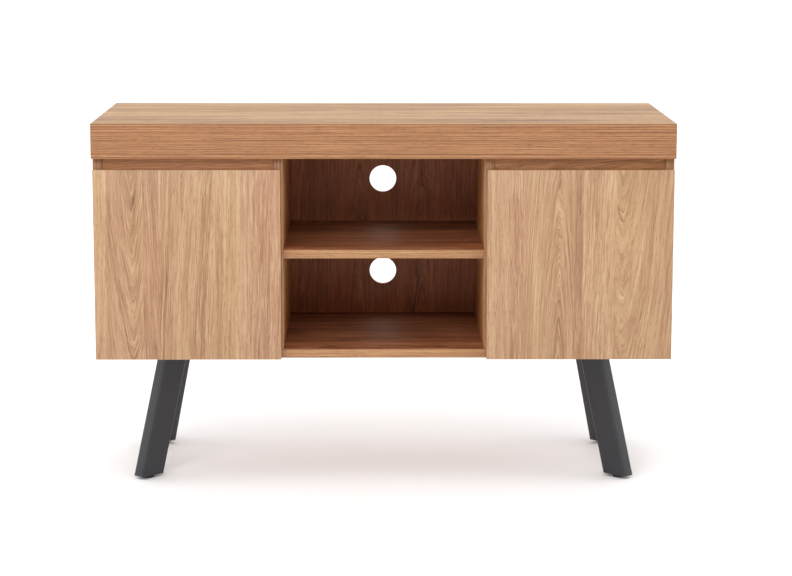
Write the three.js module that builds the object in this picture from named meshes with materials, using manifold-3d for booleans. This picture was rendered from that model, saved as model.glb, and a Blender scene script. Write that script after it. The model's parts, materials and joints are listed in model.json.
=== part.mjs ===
// Television stand in oak veneer: a built-up top, two door cabinets, an open bay and four steel legs.
// Millimetres, +Z up. The front faces -Y. The origin is on the floor, under the middle of the top.

import * as THREE from 'three';
import { mergeVertices } from 'three/addons/utils/BufferGeometryUtils.js';
import Module from 'manifold-3d';

const wasm = await Module();
wasm.setup();

// ---- Driving dimensions ------------------------------------------------------------------------

// Overall
const TOP_WIDTH = 1000;
const TOP_DEPTH = 420;
const TOTAL_HEIGHT = 635;
const CARCASS_BOTTOM = 226; // floor to the underside of the cabinets

// Boards
const BOARD = 15; // every oak board
const BACK_BOARD = 9;
const GLUE_LINE = 0.1; // gap between boards that are joined

// Built-up top
const TOP_THICKNESS = 60;
const MITRE_GAP = 0.15;
const BATTEN_WIDTH = 45;

// Carcass
const SIDE_OVERHANG = 1; // top past each side panel
const FRONT_SETBACK = 18; // top's front face to the carcass's front edges
const BACK_SETBACK = 10;
const BACK_INSET = 6; // back panel's rear face to the side panels' rear edges
const BACK_REBATE = 7; // how deep the back panel is let into each side panel
const BAY_WIDTH = 348;
const CABLE_HOLE_RADIUS = 25;
const RAIL_HEIGHT = 40;
const RAIL_SETBACK = 4; // carcass front to the rail behind the finger gap

// Doors
const DOOR_THICKNESS = 15;
const DOOR_GAP = 1; // door's back face to the carcass's front edges
const DOOR_OUTER_REVEAL = 1; // side panel's outer face to the door's edge
const DOOR_INNER_REVEAL = 3.5; // divider's bay face to the door's edge
const FINGER_GAP = 19.5; // top's underside to the door's top edge
const FINGER_BEVEL_DEPTH = 7; // bevel behind the door's top edge, for the fingertips
const FINGER_BEVEL_HEIGHT = 18;
const BUMPER_RADIUS = 4;
const BUMPER_THICKNESS = 0.8;
const BUMPER_FROM_EDGE = 5.7;
const BUMPER_FROM_END = 36;

// Concealed hinges
const HINGE_FROM_END = 65; // hinge's middle to the door's top or bottom edge
const CUP_RADIUS = 17.5;
const CUP_DEPTH = 11.5;
const CUP_WALL = 1.5;
const CUP_FROM_EDGE = 22.5; // cup's middle to the door's outer edge
const CUP_CLEARANCE = 0.3;
const FLANGE_HEIGHT = 52;
const FLANGE_INWARD = 15; // flange past the cup's middle, towards the door's middle
const FLANGE_OUTWARD = 8;
const FLANGE_THICKNESS = 0.8;
const PLATE_LENGTH = 34;
const PLATE_HEIGHT = 16;
const PLATE_WING = 50;
const PLATE_WING_LENGTH = 13;
const PLATE_THICKNESS = 3;
const PLATE_BOSS = 6;
const PLATE_SETBACK = 37; // carcass front to the plate's screw line
const ARM_WIDTH = 14;
const ARM_HEIGHT = 11;
const ARM_WALL = 1.4;
const ARM_REACH = 7; // arm's nose into the cup
const ARM_TAIL = 72; // arm's end behind the carcass's front edges
const HARDWARE_GAP = 0.3;

// Loose shelves behind the doors
const SHELF_END_GAP = 1;
const SHELF_SETBACK = 28;
const SHELF_BACK_GAP = 3;
const PIN_RADIUS = 2.35;
const PIN_LENGTH = 18;
const PIN_BURIED = 8;
const PIN_TIP = 0.8;
const PIN_HOLE_RADIUS = 2.5;
const PIN_HOLE_DEPTH = 10;
const PIN_HOLE_PITCH = 32;
const PIN_HOLE_ROWS = 5;
const PIN_INSET = 45; // hole columns from the carcass's front edges and from the back panel

// Legs: rectangular tube, its wide side on the diagonal, splayed the same amount both ways
const LEG_LONG = 50;
const LEG_SHORT = 25;
const LEG_CORNER = 4;
const LEG_WALL = 1.5;
const LEG_SPLAY = 0.2; // sideways run per unit of height, along X and along Y
const FOOT_SPACING_X = 833;
const FOOT_SPACING_Y = 280;
const LEG_PLATE_LENGTH = 110;
const LEG_PLATE_WIDTH = 60;
const LEG_PLATE_THICKNESS = 3;
const LEG_PLATE_CORNER = 6;
const LEG_SCREW_RADIUS = 2.6;
const LEG_SCREW_SPACING_LONG = 88;
const LEG_SCREW_SPACING_SHORT = 40;
const PLUG_HEIGHT = 20;
const PLUG_CLEARANCE = 0.3;

// Levelling feet
const LEVELLER_RADIUS = 9.5;
const LEVELLER_BASE_RADIUS = 8;
const LEVELLER_FLARE = 1.5;
const LEVELLER_HEIGHT = 5;
const STEM_RADIUS = 3.8;
const STEM_LENGTH = 17;
const STEM_CLEARANCE = 0.3;

// Roundness of turned parts
const ROUND = 32;
const SMALL_ROUND = 12;

// ---- Places worked out from them ---------------------------------------------------------------

const topUnderside = TOTAL_HEIGHT - TOP_THICKNESS;
const carcassHalf = TOP_WIDTH / 2 - SIDE_OVERHANG;
const sideInner = carcassHalf - BOARD;
const bayHalf = BAY_WIDTH / 2;
const dividerOuter = bayHalf + BOARD;
const carcassFront = -TOP_DEPTH / 2 + FRONT_SETBACK;
const carcassBack = TOP_DEPTH / 2 - BACK_SETBACK;
const backPanelRear = carcassBack - BACK_INSET;
const backPanelFront = backPanelRear - BACK_BOARD;
const boardBack = backPanelFront - GLUE_LINE;
const carcassTop = topUnderside - GLUE_LINE;
const floorTop = CARCASS_BOTTOM + BOARD;
const bayShelfBottom = (floorTop + topUnderside - BOARD) / 2;
const bayShelfTop = bayShelfBottom + BOARD;
const upperHoleHeight = (bayShelfTop + topUnderside) / 2;
const lowerHoleHeight = (floorTop + bayShelfBottom) / 2;
const railFront = carcassFront + RAIL_SETBACK;

const doorBack = carcassFront - DOOR_GAP;
const doorFront = doorBack - DOOR_THICKNESS;
const doorOuter = carcassHalf - DOOR_OUTER_REVEAL;
const doorInner = bayHalf + DOOR_INNER_REVEAL;
const doorTop = topUnderside - FINGER_GAP;
const doorBottom = CARCASS_BOTTOM;
const cupMiddle = doorOuter - CUP_FROM_EDGE;
const hingeHeights = { lower: doorBottom + HINGE_FROM_END, upper: doorTop - HINGE_FROM_END };

const cabinetShelfBottom = bayShelfBottom;
const pinHeight = cabinetShelfBottom - PIN_RADIUS - GLUE_LINE;
const pinColumns = { front: carcassFront + PIN_INSET, rear: backPanelFront - PIN_INSET };

const carcassMiddleY = (carcassFront + carcassBack) / 2;
const legBottom = LEVELLER_HEIGHT + HARDWARE_GAP;
const legTop = CARCASS_BOTTOM - GLUE_LINE;
const legHeight = legTop - legBottom;

// ---- Materials ---------------------------------------------------------------------------------

const oak = new THREE.MeshStandardMaterial({ color: 0xcda27b, roughness: 0.55, metalness: 0 });
const blackSteel = new THREE.MeshStandardMaterial({ color: 0x1c1c1d, roughness: 0.5, metalness: 0.2 });
const nickel = new THREE.MeshStandardMaterial({ color: 0xc9cbcc, roughness: 0.3, metalness: 1 });
const blackPlastic = new THREE.MeshStandardMaterial({ color: 0x141416, roughness: 0.6, metalness: 0 });
const clearRubber = new THREE.MeshStandardMaterial({ color: 0xd9dad6, roughness: 0.4, metalness: 0 });
const softwood = new THREE.MeshStandardMaterial({ color: 0xd6b98c, roughness: 0.7, metalness: 0 });

// ---- Helpers -----------------------------------------------------------------------------------

const tvStand = new THREE.Group();

function addPart(name, geometry, material) {
  const mesh = new THREE.Mesh(geometry, material);
  mesh.name = name;
  tvStand.add(mesh);
}

// A closed geometry as a solid that can be cut or joined.
function toSolid(geometry) {
  const bare = geometry.clone();
  bare.deleteAttribute('normal');
  bare.deleteAttribute('uv');
  const merged = mergeVertices(bare);
  const vertProperties = new Float32Array(merged.attributes.position.array);
  const triVerts = new Uint32Array(merged.index.array);
  return new wasm.Manifold(new wasm.Mesh({ numProp: 3, vertProperties, triVerts }));
}

function toGeometry(solid) {
  const mesh = solid.getMesh();
  const geometry = new THREE.BufferGeometry();
  geometry.setAttribute('position', new THREE.BufferAttribute(mesh.vertProperties, 3));
  geometry.setIndex(new THREE.BufferAttribute(mesh.triVerts, 1));
  return geometry;
}

function cut(geometry, cutters) {
  let solid = toSolid(geometry);
  for (const cutter of cutters) {
    solid = solid.subtract(toSolid(cutter));
  }
  return toGeometry(solid);
}

function join(geometries) {
  let solid = toSolid(geometries[0]);
  for (const geometry of geometries.slice(1)) {
    solid = solid.add(toSolid(geometry));
  }
  return toGeometry(solid);
}

function box(x, y, z) {
  const geometry = new THREE.BoxGeometry(x[1] - x[0], y[1] - y[0], z[1] - z[0]);
  return geometry.translate((x[0] + x[1]) / 2, (y[0] + y[1]) / 2, (z[0] + z[1]) / 2);
}

// A six-sided solid from its four lower and four upper corners, each anticlockwise from above.
function sixSided(lower, upper) {
  const corners = [...lower, ...upper].flat();
  const faces = [[3, 2, 1, 0], [4, 5, 6, 7], [0, 1, 5, 4], [1, 2, 6, 5], [2, 3, 7, 6], [3, 0, 4, 7]];
  const triangles = faces.flatMap(([a, b, c, d]) => [a, b, c, a, c, d]);
  const geometry = new THREE.BufferGeometry();
  geometry.setAttribute('position', new THREE.Float32BufferAttribute(corners, 3));
  geometry.setIndex(triangles);
  return geometry;
}

// A solid turned from an outline of [radius, height] points that starts and ends on its axis.
// The axis is +Y.
function turned(outline, segments) {
  const points = outline.map(([radius, height]) => new THREE.Vector2(radius, height));
  return new THREE.LatheGeometry(points, segments);
}

function cylinder(radius, length, segments) {
  return new THREE.CylinderGeometry(radius, radius, length, segments);
}

function roundedRectangle(length, width, radius) {
  const x = length / 2 - radius;
  const y = width / 2 - radius;
  const shape = new THREE.Shape();
  shape.moveTo(x, -y - radius);
  shape.absarc(x, -y, radius, -Math.PI / 2, 0, false);
  shape.absarc(x, y, radius, 0, Math.PI / 2, false);
  shape.absarc(-x, y, radius, Math.PI / 2, Math.PI, false);
  shape.absarc(-x, -y, radius, Math.PI, Math.PI * 1.5, false);
  return shape;
}

function extruded(shape, height) {
  return new THREE.ExtrudeGeometry(shape, { depth: height, bevelEnabled: false, curveSegments: 4 });
}

// The left front piece reflected to another corner: x and y are 1 to keep it or -1 to reflect it.
function reflected(geometry, x, y) {
  const copy = geometry.clone().scale(x, y, 1);
  if (x * y < 0) {
    const index = copy.index ?? new THREE.BufferAttribute(
      Uint32Array.from({ length: copy.attributes.position.count }, (_, i) => i), 1);
    const turnedOver = new Uint32Array(index.count);
    for (let i = 0; i < index.count; i += 3) {
      turnedOver[i] = index.getX(i);
      turnedOver[i + 1] = index.getX(i + 2);
      turnedOver[i + 2] = index.getX(i + 1);
    }
    copy.setIndex(new THREE.BufferAttribute(turnedOver, 1));
  }
  return copy;
}

const sides = [['left', 1], ['right', -1]];
const ends = [['front', 1], ['rear', -1]];

function addPair(name, geometry, material) {
  for (const [side, x] of sides) {
    addPart(`${name}_${side}`, reflected(geometry, x, 1), material);
  }
}

// ---- Built-up top ------------------------------------------------------------------------------

// A board whose four edges are mitred at 45 degrees, so no board edge shows on the top.
function topPanel() {
  const x = TOP_WIDTH / 2;
  const y = TOP_DEPTH / 2;
  const corners = (inset, z) => [
    [-x + inset, -y + inset, z],
    [x - inset, -y + inset, z],
    [x - inset, y - inset, z],
    [-x + inset, y - inset, z],
  ];
  return sixSided(corners(BOARD, TOTAL_HEIGHT - BOARD), corners(0, TOTAL_HEIGHT));
}

// One of the four edge boards, mitred to the top panel and to its neighbours. It lies along X.
function apron(halfLength, halfDistance) {
  const outer = halfLength - MITRE_GAP;
  const inner = outer - BOARD;
  const arris = TOTAL_HEIGHT - MITRE_GAP;
  const corners = (outerZ, innerZ) => [
    [-outer, -halfDistance, outerZ],
    [outer, -halfDistance, outerZ],
    [inner, -halfDistance + BOARD, innerZ],
    [-inner, -halfDistance + BOARD, innerZ],
  ];
  return sixSided(corners(topUnderside, topUnderside), corners(arris, arris - BOARD));
}

const aprons = [
  ['apron_front', TOP_WIDTH, TOP_DEPTH, 0],
  ['apron_right', TOP_DEPTH, TOP_WIDTH, 1],
  ['apron_rear', TOP_WIDTH, TOP_DEPTH, 2],
  ['apron_left', TOP_DEPTH, TOP_WIDTH, 3],
];
addPart('top_panel', topPanel(), oak);
for (const [name, length, distance, quarterTurns] of aprons) {
  addPart(name, apron(length / 2, distance / 2).rotateZ(quarterTurns * Math.PI / 2), oak);
}

const coreX = TOP_WIDTH / 2 - BOARD - GLUE_LINE;
const coreY = TOP_DEPTH / 2 - BOARD - GLUE_LINE;
const underboardTop = topUnderside + BOARD;
addPart('underboard', box([-coreX, coreX], [-coreY, coreY], [topUnderside, underboardTop]), oak);

const battenMiddle = bayHalf + BOARD / 2;
const batten = box(
  [-battenMiddle - BATTEN_WIDTH / 2, -battenMiddle + BATTEN_WIDTH / 2],
  [-coreY, coreY],
  [underboardTop + GLUE_LINE, TOTAL_HEIGHT - BOARD - GLUE_LINE],
);
addPair('core_batten', batten, softwood);

// ---- Carcass -----------------------------------------------------------------------------------

// The two columns of blind holes for shelf pins, drilled along X at a panel's cabinet face.
function pinHoles(face) {
  const holes = [];
  for (const y of Object.values(pinColumns)) {
    for (let row = 0; row < PIN_HOLE_ROWS; row += 1) {
      const z = pinHeight + (row - (PIN_HOLE_ROWS - 1) / 2) * PIN_HOLE_PITCH;
      const hole = cylinder(PIN_HOLE_RADIUS, 2 * PIN_HOLE_DEPTH, SMALL_ROUND);
      holes.push(hole.rotateZ(Math.PI / 2).translate(face, y, z));
    }
  }
  return holes;
}

const rebate = box(
  [-sideInner - BACK_REBATE, -sideInner + BOARD],
  [backPanelFront, carcassBack + BOARD],
  [0, TOTAL_HEIGHT],
);
const sideBoard = box([-carcassHalf, -sideInner], [carcassFront, carcassBack], [CARCASS_BOTTOM, carcassTop]);
addPair('side_panel', cut(sideBoard, [rebate, ...pinHoles(-sideInner)]), oak);

const dividerBoard = box([-dividerOuter, -bayHalf], [carcassFront, boardBack], [floorTop + GLUE_LINE, carcassTop]);
addPair('divider', cut(dividerBoard, pinHoles(-dividerOuter)), oak);

const floorHalf = sideInner - GLUE_LINE;
addPart('bottom_panel', box([-floorHalf, floorHalf], [carcassFront, boardBack], [CARCASS_BOTTOM, floorTop]), oak);

const bayShelfHalf = bayHalf - GLUE_LINE;
const bayShelf = box([-bayShelfHalf, bayShelfHalf], [carcassFront, boardBack], [bayShelfBottom, bayShelfTop]);
addPart('bay_shelf', bayShelf, oak);

const backHalf = sideInner + BACK_REBATE - GLUE_LINE;
const backBoard = box([-backHalf, backHalf], [backPanelFront, backPanelRear], [CARCASS_BOTTOM, carcassTop]);
const cableHoles = [upperHoleHeight, lowerHoleHeight].map(
  (z) => cylinder(CABLE_HOLE_RADIUS, 4 * BACK_BOARD, ROUND).translate(0, backPanelFront, z),
);
addPart('back_panel', cut(backBoard, cableHoles), oak);

const rail = box(
  [-sideInner + GLUE_LINE, -dividerOuter - GLUE_LINE],
  [railFront, railFront + BOARD],
  [topUnderside - RAIL_HEIGHT, carcassTop],
);
addPair('rail', rail, oak);

// ---- Loose shelves and their pins --------------------------------------------------------------

const cabinetShelf = box(
  [-sideInner + SHELF_END_GAP, -dividerOuter - SHELF_END_GAP],
  [carcassFront + SHELF_SETBACK, backPanelFront - SHELF_BACK_GAP],
  [cabinetShelfBottom, cabinetShelfBottom + BOARD],
);
addPair('cabinet_shelf', cabinetShelf, oak);

// A pin along +X, with its buried end at the origin.
const pin = turned([
  [0, 0],
  [PIN_RADIUS, 0],
  [PIN_RADIUS, PIN_LENGTH - PIN_TIP],
  [PIN_RADIUS - PIN_TIP, PIN_LENGTH],
  [0, PIN_LENGTH],
], SMALL_ROUND).rotateZ(-Math.PI / 2);

for (const [column, y] of Object.entries(pinColumns)) {
  const outerPin = pin.clone().translate(-sideInner - PIN_BURIED, y, pinHeight);
  const innerPin = pin.clone().rotateZ(Math.PI).translate(-dividerOuter + PIN_BURIED, y, pinHeight);
  addPair(`shelf_pin_outer_${column}`, outerPin, nickel);
  addPair(`shelf_pin_inner_${column}`, innerPin, nickel);
}

// ---- Doors -------------------------------------------------------------------------------------

const doorBoard = box([-doorOuter, -doorInner], [doorFront, doorBack], [doorBottom, doorTop]);
const bevelStart = doorBack - FINGER_BEVEL_DEPTH;
const bevelEnd = doorTop - FINGER_BEVEL_HEIGHT;
const bevelWaste = sixSided(
  [
    [-TOP_WIDTH, doorBack, bevelEnd],
    [0, doorBack, bevelEnd],
    [0, doorBack + BOARD, bevelEnd],
    [-TOP_WIDTH, doorBack + BOARD, bevelEnd],
  ],
  [
    [-TOP_WIDTH, bevelStart, doorTop],
    [0, bevelStart, doorTop],
    [0, doorBack + BOARD, doorTop],
    [-TOP_WIDTH, doorBack + BOARD, doorTop],
  ],
);
const cupBores = Object.values(hingeHeights).map((z) => {
  const bore = cylinder(CUP_RADIUS + CUP_CLEARANCE, 2 * (CUP_DEPTH + CUP_CLEARANCE), ROUND);
  return bore.translate(-cupMiddle, doorBack, z);
});
addPair('door', cut(doorBoard, [bevelWaste, ...cupBores]), oak);

const bumperMiddleY = (doorBack + carcassFront) / 2;
for (const [end, z] of [['lower', doorBottom + BUMPER_FROM_END], ['upper', doorTop - BUMPER_FROM_END]]) {
  const bumper = cylinder(BUMPER_RADIUS, BUMPER_THICKNESS, SMALL_ROUND);
  addPair(`bumper_${end}`, bumper.translate(-doorInner - BUMPER_FROM_EDGE, bumperMiddleY, z), clearRubber);
}

// ---- Concealed hinges --------------------------------------------------------------------------

// The cup is let into the door. Its flange lies on the door's back face, clear of the side panel.
function hingeCup() {
  const hollow = CUP_RADIUS - CUP_WALL;
  const cup = turned([
    [0, -CUP_DEPTH],
    [CUP_RADIUS, -CUP_DEPTH],
    [CUP_RADIUS, 0],
    [hollow, 0],
    [hollow, -CUP_DEPTH + CUP_WALL],
    [0, -CUP_DEPTH + CUP_WALL],
  ], ROUND);
  const flange = box(
    [-FLANGE_OUTWARD, FLANGE_INWARD],
    [0, FLANGE_THICKNESS],
    [-FLANGE_HEIGHT / 2, FLANGE_HEIGHT / 2],
  );
  const flangeFoot = box([-FLANGE_OUTWARD, FLANGE_INWARD], [-CUP_WALL, FLANGE_THICKNESS], [-hollow, hollow]);
  const throat = cylinder(hollow, 4 * CUP_WALL, ROUND);
  const bridge = toGeometry(toSolid(flangeFoot).intersect(toSolid(cylinder(CUP_RADIUS, 4 * CUP_WALL, ROUND))));
  return cut(join([cup, flange, bridge]), [throat]);
}

// The plate is screwed to the side panel; its boss stands in the arm's channel.
function hingePlate() {
  const low = -sideInner + GLUE_LINE;
  const middle = carcassFront + PLATE_SETBACK;
  const reach = PLATE_LENGTH / 2;
  const base = box(
    [low, low + PLATE_THICKNESS],
    [middle - reach, middle + reach],
    [-PLATE_HEIGHT / 2, PLATE_HEIGHT / 2],
  );
  const wing = box(
    [low, low + PLATE_THICKNESS],
    [middle - PLATE_WING_LENGTH / 2, middle + PLATE_WING_LENGTH / 2],
    [-PLATE_WING / 2, PLATE_WING / 2],
  );
  const bossHalf = ARM_WIDTH / 2 - ARM_WALL - HARDWARE_GAP;
  const boss = box(
    [low, low + PLATE_THICKNESS + PLATE_BOSS],
    [middle - reach, middle + reach],
    [-bossHalf, bossHalf],
  );
  return join([base, wing, boss]);
}

// The arm is a channel over the plate's boss, closed at its nose, which stands in the cup.
function hingeArm() {
  const low = -sideInner + GLUE_LINE + PLATE_THICKNESS + HARDWARE_GAP;
  const nose = doorBack - ARM_REACH;
  const tail = carcassFront + ARM_TAIL;
  const half = ARM_WIDTH / 2;
  const body = box([low, low + ARM_HEIGHT], [nose, tail], [-half, half]);
  const channel = box(
    [low - ARM_HEIGHT, low + ARM_HEIGHT - ARM_WALL],
    [nose + BOARD, tail + BOARD],
    [-half + ARM_WALL, half - ARM_WALL],
  );
  return cut(body, [channel]);
}

for (const [end, z] of Object.entries(hingeHeights)) {
  addPair(`hinge_cup_${end}`, hingeCup().translate(-cupMiddle, doorBack + GLUE_LINE, z), nickel);
  addPair(`hinge_plate_${end}`, hingePlate().translate(0, 0, z), nickel);
  addPair(`hinge_arm_${end}`, hingeArm().translate(0, 0, z), nickel);
}

// ---- Legs, plugs and levelling feet ------------------------------------------------------------

// Leans an upright piece whose foot is at the origin: it moves inwards as it rises.
const lean = new THREE.Matrix4().set(1, 0, LEG_SPLAY, 0, 0, 1, LEG_SPLAY, 0, 0, 0, 1, 0, 0, 0, 0, 1);
const diagonal = Math.PI / 4;

function leg() {
  const section = roundedRectangle(LEG_LONG, LEG_SHORT, LEG_CORNER);
  const bore = roundedRectangle(LEG_LONG - 2 * LEG_WALL, LEG_SHORT - 2 * LEG_WALL, LEG_CORNER - LEG_WALL);
  section.holes.push(bore);
  const tubeHeight = legHeight - LEG_PLATE_THICKNESS / 2;
  const tube = extruded(section, tubeHeight).rotateZ(diagonal).applyMatrix4(lean);
  const run = LEG_SPLAY * legHeight;
  const plate = extruded(
    roundedRectangle(LEG_PLATE_LENGTH, LEG_PLATE_WIDTH, LEG_PLATE_CORNER),
    LEG_PLATE_THICKNESS,
  );
  const screwHoles = [];
  for (const x of [-LEG_SCREW_SPACING_LONG / 2, LEG_SCREW_SPACING_LONG / 2]) {
    for (const y of [-LEG_SCREW_SPACING_SHORT / 2, LEG_SCREW_SPACING_SHORT / 2]) {
      const hole = cylinder(LEG_SCREW_RADIUS, 4 * LEG_PLATE_THICKNESS, SMALL_ROUND);
      screwHoles.push(hole.rotateX(Math.PI / 2).translate(x, y, 0));
    }
  }
  const drilled = cut(plate, screwHoles).rotateZ(diagonal);
  return join([tube, drilled.translate(run, run, legHeight - LEG_PLATE_THICKNESS)]);
}

function footPlug() {
  const shrink = 2 * (LEG_WALL + PLUG_CLEARANCE);
  const section = roundedRectangle(LEG_LONG - shrink, LEG_SHORT - shrink, LEG_CORNER - LEG_WALL);
  const body = extruded(section, PLUG_HEIGHT).rotateZ(diagonal).applyMatrix4(lean);
  const thread = cylinder(STEM_RADIUS + STEM_CLEARANCE, 4 * PLUG_HEIGHT, ROUND).rotateX(Math.PI / 2);
  return cut(body, [thread]);
}

function leveller() {
  return turned([
    [0, 0],
    [LEVELLER_BASE_RADIUS, 0],
    [LEVELLER_RADIUS, LEVELLER_FLARE],
    [LEVELLER_RADIUS, LEVELLER_HEIGHT],
    [STEM_RADIUS, LEVELLER_HEIGHT],
    [STEM_RADIUS, LEVELLER_HEIGHT + STEM_LENGTH],
    [0, LEVELLER_HEIGHT + STEM_LENGTH],
  ], ROUND).rotateX(Math.PI / 2);
}

for (const [end, y] of ends) {
  for (const [side, x] of sides) {
    const place = [-x * FOOT_SPACING_X / 2, carcassMiddleY - y * FOOT_SPACING_Y / 2];
    const atFoot = (geometry, z) => reflected(geometry, x, y).translate(...place, z);
    addPart(`leg_${end}_${side}`, atFoot(leg(), legBottom), blackSteel);
    addPart(`foot_plug_${end}_${side}`, atFoot(footPlug(), legBottom), blackPlastic);
    addPart(`leveller_${end}_${side}`, atFoot(leveller(), 0), blackPlastic);
  }
}

export default tvStand;
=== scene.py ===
# %% [markdown]
# # A television stand in oak veneer and black steel
#
# This script gives every board its veneer and eased edges, the legs their powder coat, and the
# hinges their nickel, and then sets a floor, a camera and soft studio lights. All lengths are in
# metres, as in the frame, but veneer is laid out in millimetres, because wood is easiest to think
# of that way.

# %% Load the frame
import json
import math
import random

import bmesh
import bpy
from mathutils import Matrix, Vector


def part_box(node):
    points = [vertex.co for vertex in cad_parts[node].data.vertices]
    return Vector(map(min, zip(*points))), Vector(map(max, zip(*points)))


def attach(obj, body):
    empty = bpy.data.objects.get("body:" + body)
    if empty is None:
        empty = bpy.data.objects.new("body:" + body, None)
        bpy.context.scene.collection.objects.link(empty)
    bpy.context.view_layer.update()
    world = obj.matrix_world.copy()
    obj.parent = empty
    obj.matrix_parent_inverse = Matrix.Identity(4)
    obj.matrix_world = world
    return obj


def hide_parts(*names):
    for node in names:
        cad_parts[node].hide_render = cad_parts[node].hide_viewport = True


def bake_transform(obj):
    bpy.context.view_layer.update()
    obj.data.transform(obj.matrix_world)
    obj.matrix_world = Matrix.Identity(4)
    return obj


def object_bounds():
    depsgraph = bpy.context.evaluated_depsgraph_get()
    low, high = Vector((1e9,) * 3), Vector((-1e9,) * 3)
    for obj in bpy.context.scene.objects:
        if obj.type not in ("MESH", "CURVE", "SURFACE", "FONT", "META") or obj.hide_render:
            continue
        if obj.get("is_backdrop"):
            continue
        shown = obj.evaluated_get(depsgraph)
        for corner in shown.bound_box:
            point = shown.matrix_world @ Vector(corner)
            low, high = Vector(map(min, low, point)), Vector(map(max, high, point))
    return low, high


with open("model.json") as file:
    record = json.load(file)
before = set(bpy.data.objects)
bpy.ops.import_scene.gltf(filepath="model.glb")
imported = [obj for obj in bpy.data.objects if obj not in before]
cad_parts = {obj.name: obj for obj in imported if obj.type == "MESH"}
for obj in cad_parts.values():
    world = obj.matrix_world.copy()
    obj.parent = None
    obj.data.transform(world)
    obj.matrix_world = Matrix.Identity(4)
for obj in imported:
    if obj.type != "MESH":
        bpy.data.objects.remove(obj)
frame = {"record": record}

MM = 0.001
SIDES = (("left", -1), ("right", 1))
cad_low, cad_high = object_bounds()
print("size in mm:", [round(v / MM) for v in cad_high - cad_low])

# %% [markdown]
# ## Camera
#
# The camera comes before anything is made, so that every draft is seen from the same place. It
# stands well back with a long lens, a little above the top, and looks slightly down. Its place is
# measured from the front face of the top, so it follows the object if the object changes.

# %% Camera
CAMERA_BACK = 4.0119  # in front of the top's front face
CAMERA_HEIGHT = 1.0098
CAMERA_ASIDE = -0.0191
CAMERA_PITCH = 9.314  # degrees down
CAMERA_YAW = 0.56  # degrees to the right
CAMERA_ROLL = -0.064
LENS = 107.32  # mm
SENSOR = 36  # mm across


def make_camera():
    data = bpy.data.cameras.new("camera")
    data.lens = LENS
    data.sensor_width = SENSOR
    camera = bpy.data.objects.new("camera", data)
    camera.location = (CAMERA_ASIDE, cad_low.y - CAMERA_BACK, CAMERA_HEIGHT)
    angles = (90 - CAMERA_PITCH, CAMERA_ROLL, -CAMERA_YAW)
    camera.rotation_euler = [math.radians(a) for a in angles]
    bpy.context.scene.collection.objects.link(camera)
    bpy.context.scene.camera = camera
    return camera


print("camera at", [round(v, 3) for v in make_camera().location])

# %% [markdown]
# ## Colour and node helpers
#
# Colours are written as sRGB hex, the way a paint or veneer sample is read off a screen, and one
# function turns them into the linear values that the renderer adds and multiplies. One more small
# function adds a shader node with its settings and links, so a material reads as a list of steps.

# %% Colour and node helpers


def linear(hex_colour):
    channels = [int(hex_colour[i:i + 2], 16) / 255 for i in (1, 3, 5)]
    curve = [c / 12.92 if c <= 0.04045 else ((c + 0.055) / 1.055) ** 2.4 for c in channels]
    return (*curve, 1.0)


def add_node(tree, kind, inputs=None, stops=(), **settings):
    """A shader node with its settings and links; stops are a colour ramp's (position, hex or grey)."""
    node = tree.nodes.new("ShaderNode" + kind)
    for name, value in settings.items():
        setattr(node, name, value)
    for socket, value in (inputs or {}).items():
        if isinstance(value, bpy.types.NodeSocket):
            tree.links.new(value, node.inputs[socket])
        else:
            node.inputs[socket].default_value = value
    for index, (position, value) in enumerate(stops):
        elements = node.color_ramp.elements
        element = elements[index] if index < 2 else elements.new(1.0)
        element.position = position
        element.color = linear(value) if isinstance(value, str) else (value, value, value, 1)
    return node


def new_material(name):
    material = bpy.data.materials.new(name)
    material.use_nodes = True
    tree = material.node_tree
    tree.nodes.clear()
    surface = add_node(tree, "BsdfPrincipled")
    add_node(tree, "OutputMaterial", {"Surface": surface.outputs[0]})
    return material, tree, surface


print("white is", linear("#FFFFFF")[:3])

# %% [markdown]
# ## Oak veneer
#
# Veneer is a leaf 0.6 mm thick, sliced lengthways from a log. The growth rings are nested cones,
# so where the knife passes close to the pith they show as tall arches, and further out as nearly
# straight lines. The material copies that: each point of a leaf knows how far it is across from
# the pith and how deep the knife was there, and the two together give the ring that it lies in.
# Slow noise bends the rings and the fibres together, as a tree does when it grows around a branch.
#
# On top of the rings lie the fibres, the open pores and the pale mineral flecks of oak. Real pores
# are a fifth of a millimetre wide, and they are drawn more than a millimetre wide here, because
# they wouldn't show otherwise.

# %% Oak veneer material
RING = 4.8  # mm between growth rings
ARCH = 1.45  # 2 would give round arches, and 1 would give pointed ones
OAK_IOR = 1.5  # cellulose and its lacquer
RING_PROFILE = [  # how dark the wood is through one year's ring, from 0 pale to 1 dark
    (0, 0.85), (0.12, 0.55), (0.24, 0.0), (0.36, 0.05), (0.55, 0.36), (0.85, 0.45), (1, 0.85),
]
MEAN_LINE = 0.4  # the mean of that profile, so that the lines don't darken a board
BENDS = (  # mm across and along, the push in mm in a calm leaf, and the extra push in a wavy one
    ((42, 260), 4.0, 24.0),
    ((17, 95), 1.0, 15.0),
)
RAGGED = ((9, 45), 7.0)  # mm across and along, and how many mm the knife's depth seems to vary
LINE_PATCHES = (26, 130)  # where the ring lines fade and come back, mm across and along
RING_DRIFT = 0.07  # how often, per mm of growth, wide and narrow years change over
SHEET_DRIFT = 0.04
STREAK_WIDTH = 7  # mm
BROAD = (24, 380)  # the widest change of tone, mm across and along
HEARTWOOD = (46, 32)  # mm from the pith where the darker old wood starts and is complete
PORE = (1.3, 15)  # mm across and along, several times the real width so that it shows
PALE_FLECK = (2.3, 50)  # mm across and along, coarser than the real flecks so that they show
WARM_PATCHES = (34, 300)
OAK_RELIEF = 0.12 * MM


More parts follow.
